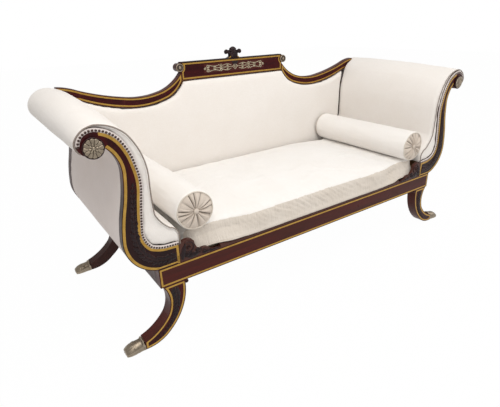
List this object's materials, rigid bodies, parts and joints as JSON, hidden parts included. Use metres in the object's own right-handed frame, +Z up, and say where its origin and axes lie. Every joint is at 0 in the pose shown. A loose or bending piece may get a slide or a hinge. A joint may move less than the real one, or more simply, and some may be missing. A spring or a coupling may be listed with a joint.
{
  "type": "scroll-end sofa",
  "caption": "Scroll-end sofa with shaped crest rail, inlaid wood frame, sabre legs with paw caps, loose seat squab and loose round bolsters.",
  "frame": {"origin": "bottom centre of the whole sofa, on the floor", "axes": "+X along the length to the viewer's right, +Y to the back, +Z up"},
  "size_m": [2.0746, 0.7788, 1.0312],
  "materials": {
    "rosewood": "dark red-brown, polished",
    "beech_frame": "plain sawn beech",
    "jute_webbing": "woven jute",
    "brass_line": "aged polish",
    "cast_brass": "antique, dull",
    "bronze_nail": "dark antique",
    "cream_cover": "plain weave, matt",
    "outside_cover": "plain weave, matt",
    "platform_cloth": "plain calico",
    "dark_piping": "fine cord",
    "marquetry": "light and dark veneers, polished"
  },
  "bodies": {
    "frame": {"back_board": "outside_cover", "back_lower_rail": "beech_frame", "back_pad": "cream_cover", "back_stiles": "beech_frame", "corner_blocks": "beech_frame", "crest_finial": "rosewood", "crest_marquetry": "marquetry", "crest_tablet": "rosewood", "cross_webbing": "jute_webbing", "front_rail_cap": "rosewood", "front_rail_inlay": "brass_line", "front_seat_rail": "rosewood", "left_arm_nails": "bronze_nail", "left_arm_outside_panel": "outside_cover", "left_arm_pad": "cream_cover", "left_arm_piping": "dark_piping", "left_arm_rails": "beech_frame", "left_crest_roll": "rosewood", "left_end_rail": "rosewood", "left_facing_inlay": "brass_line", "left_front_arm_facing": "rosewood", "left_front_leg": "rosewood", "left_front_leg_inlay": "brass_line", "left_front_paw_cap": "cast_brass", "left_rail_bracket": "rosewood", "left_rear_arm_facing": "rosewood", "left_rear_leg": "rosewood", "left_rear_paw_cap": "cast_brass", "left_scroll_rosette": "cast_brass", "left_swept_rail": "rosewood", "left_swept_rail_inlay": "brass_line", "long_webbing": "jute_webbing", "rear_seat_rail": "rosewood", "right_arm_nails": "bronze_nail", "right_arm_outside_panel": "outside_cover", "right_arm_pad": "cream_cover", "right_arm_piping": "dark_piping", "right_arm_rails": "beech_frame", "right_crest_roll": "rosewood", "right_end_rail": "rosewood", "right_facing_inlay": "brass_line", "right_front_arm_facing": "rosewood", "right_front_leg": "rosewood", "right_front_leg_inlay": "brass_line", "right_front_paw_cap": "cast_brass", "right_rail_bracket": "rosewood", "right_rear_arm_facing": "rosewood", "right_rear_leg": "rosewood", "right_rear_paw_cap": "cast_brass", "right_scroll_rosette": "cast_brass", "right_swept_rail": "rosewood", "right_swept_rail_inlay": "brass_line", "seat_cross_rails": "beech_frame", "seat_platform": "platform_cloth", "tablet_inlay": "brass_line"},
    "squab": {"seat_cushion": "cream_cover"},
    "left_bolster_roll": {"left_bolster": "cream_cover", "left_bolster_buttons": "cream_cover"},
    "right_bolster_roll": {"right_bolster": "cream_cover", "right_bolster_buttons": "cream_cover"}
  },
  "joints": [
    {"name": "squab_lift", "type": "slide", "parent": "frame", "child": "squab", "axis": [0, 0, 1], "range_m": [0, 0.62]},
    {"name": "left_bolster_lift", "type": "slide", "parent": "squab", "child": "left_bolster_roll", "axis": [0, 0, 1], "range_m": [0, 0.6]},
    {"name": "right_bolster_lift", "type": "slide", "parent": "squab", "child": "right_bolster_roll", "axis": [0, 0, 1], "range_m": [0, 0.6]}
  ]
}
